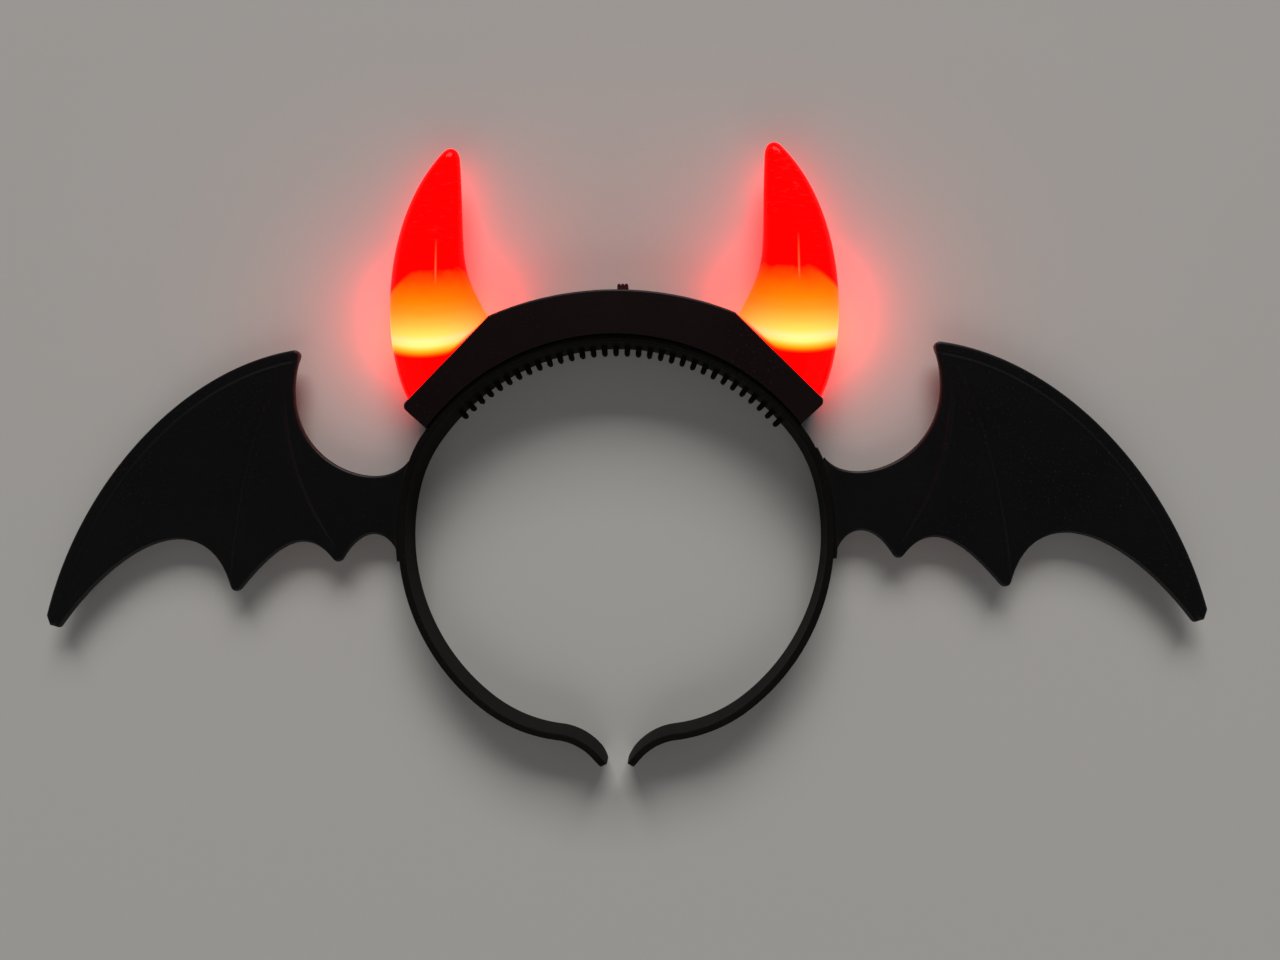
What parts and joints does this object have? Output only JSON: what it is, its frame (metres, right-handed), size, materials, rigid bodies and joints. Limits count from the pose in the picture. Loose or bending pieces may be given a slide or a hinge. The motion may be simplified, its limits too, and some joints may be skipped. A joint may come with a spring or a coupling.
{
  "type": "light-up devil horns headband",
  "caption": "Stiff plastic hair band with inner comb teeth, a lamp housing with two glowing red devil horns and a slide switch on top, and bat wings at the sides.",
  "frame": {"origin": "middle of the bounding box at the flat back, with the headband lying on its back", "axes": "+X across the head to the right horn as seen in the picture, +Y towards the horn tips, +Z from the flat back to the front"},
  "size_m": [0.343, 0.1822, 0.0185],
  "materials": {
    "black_plastic": "black moulded plastic, satin",
    "switch_plastic": "dark red-black moulded plastic",
    "red_horn": "clear red plastic lit from inside"
  },
  "bodies": {
    "headband": {"band": "black_plastic", "housing": "black_plastic", "horn_left": "red_horn", "horn_right": "red_horn", "wing_left": "black_plastic", "wing_right": "black_plastic"},
    "switch": {"switch_knob": "switch_plastic"}
  },
  "joints": [
    {"name": "switch_slide", "type": "slide", "parent": "headband", "child": "switch", "axis": [1, 0, 0], "range_m": [-0.004, 0]}
  ]
}
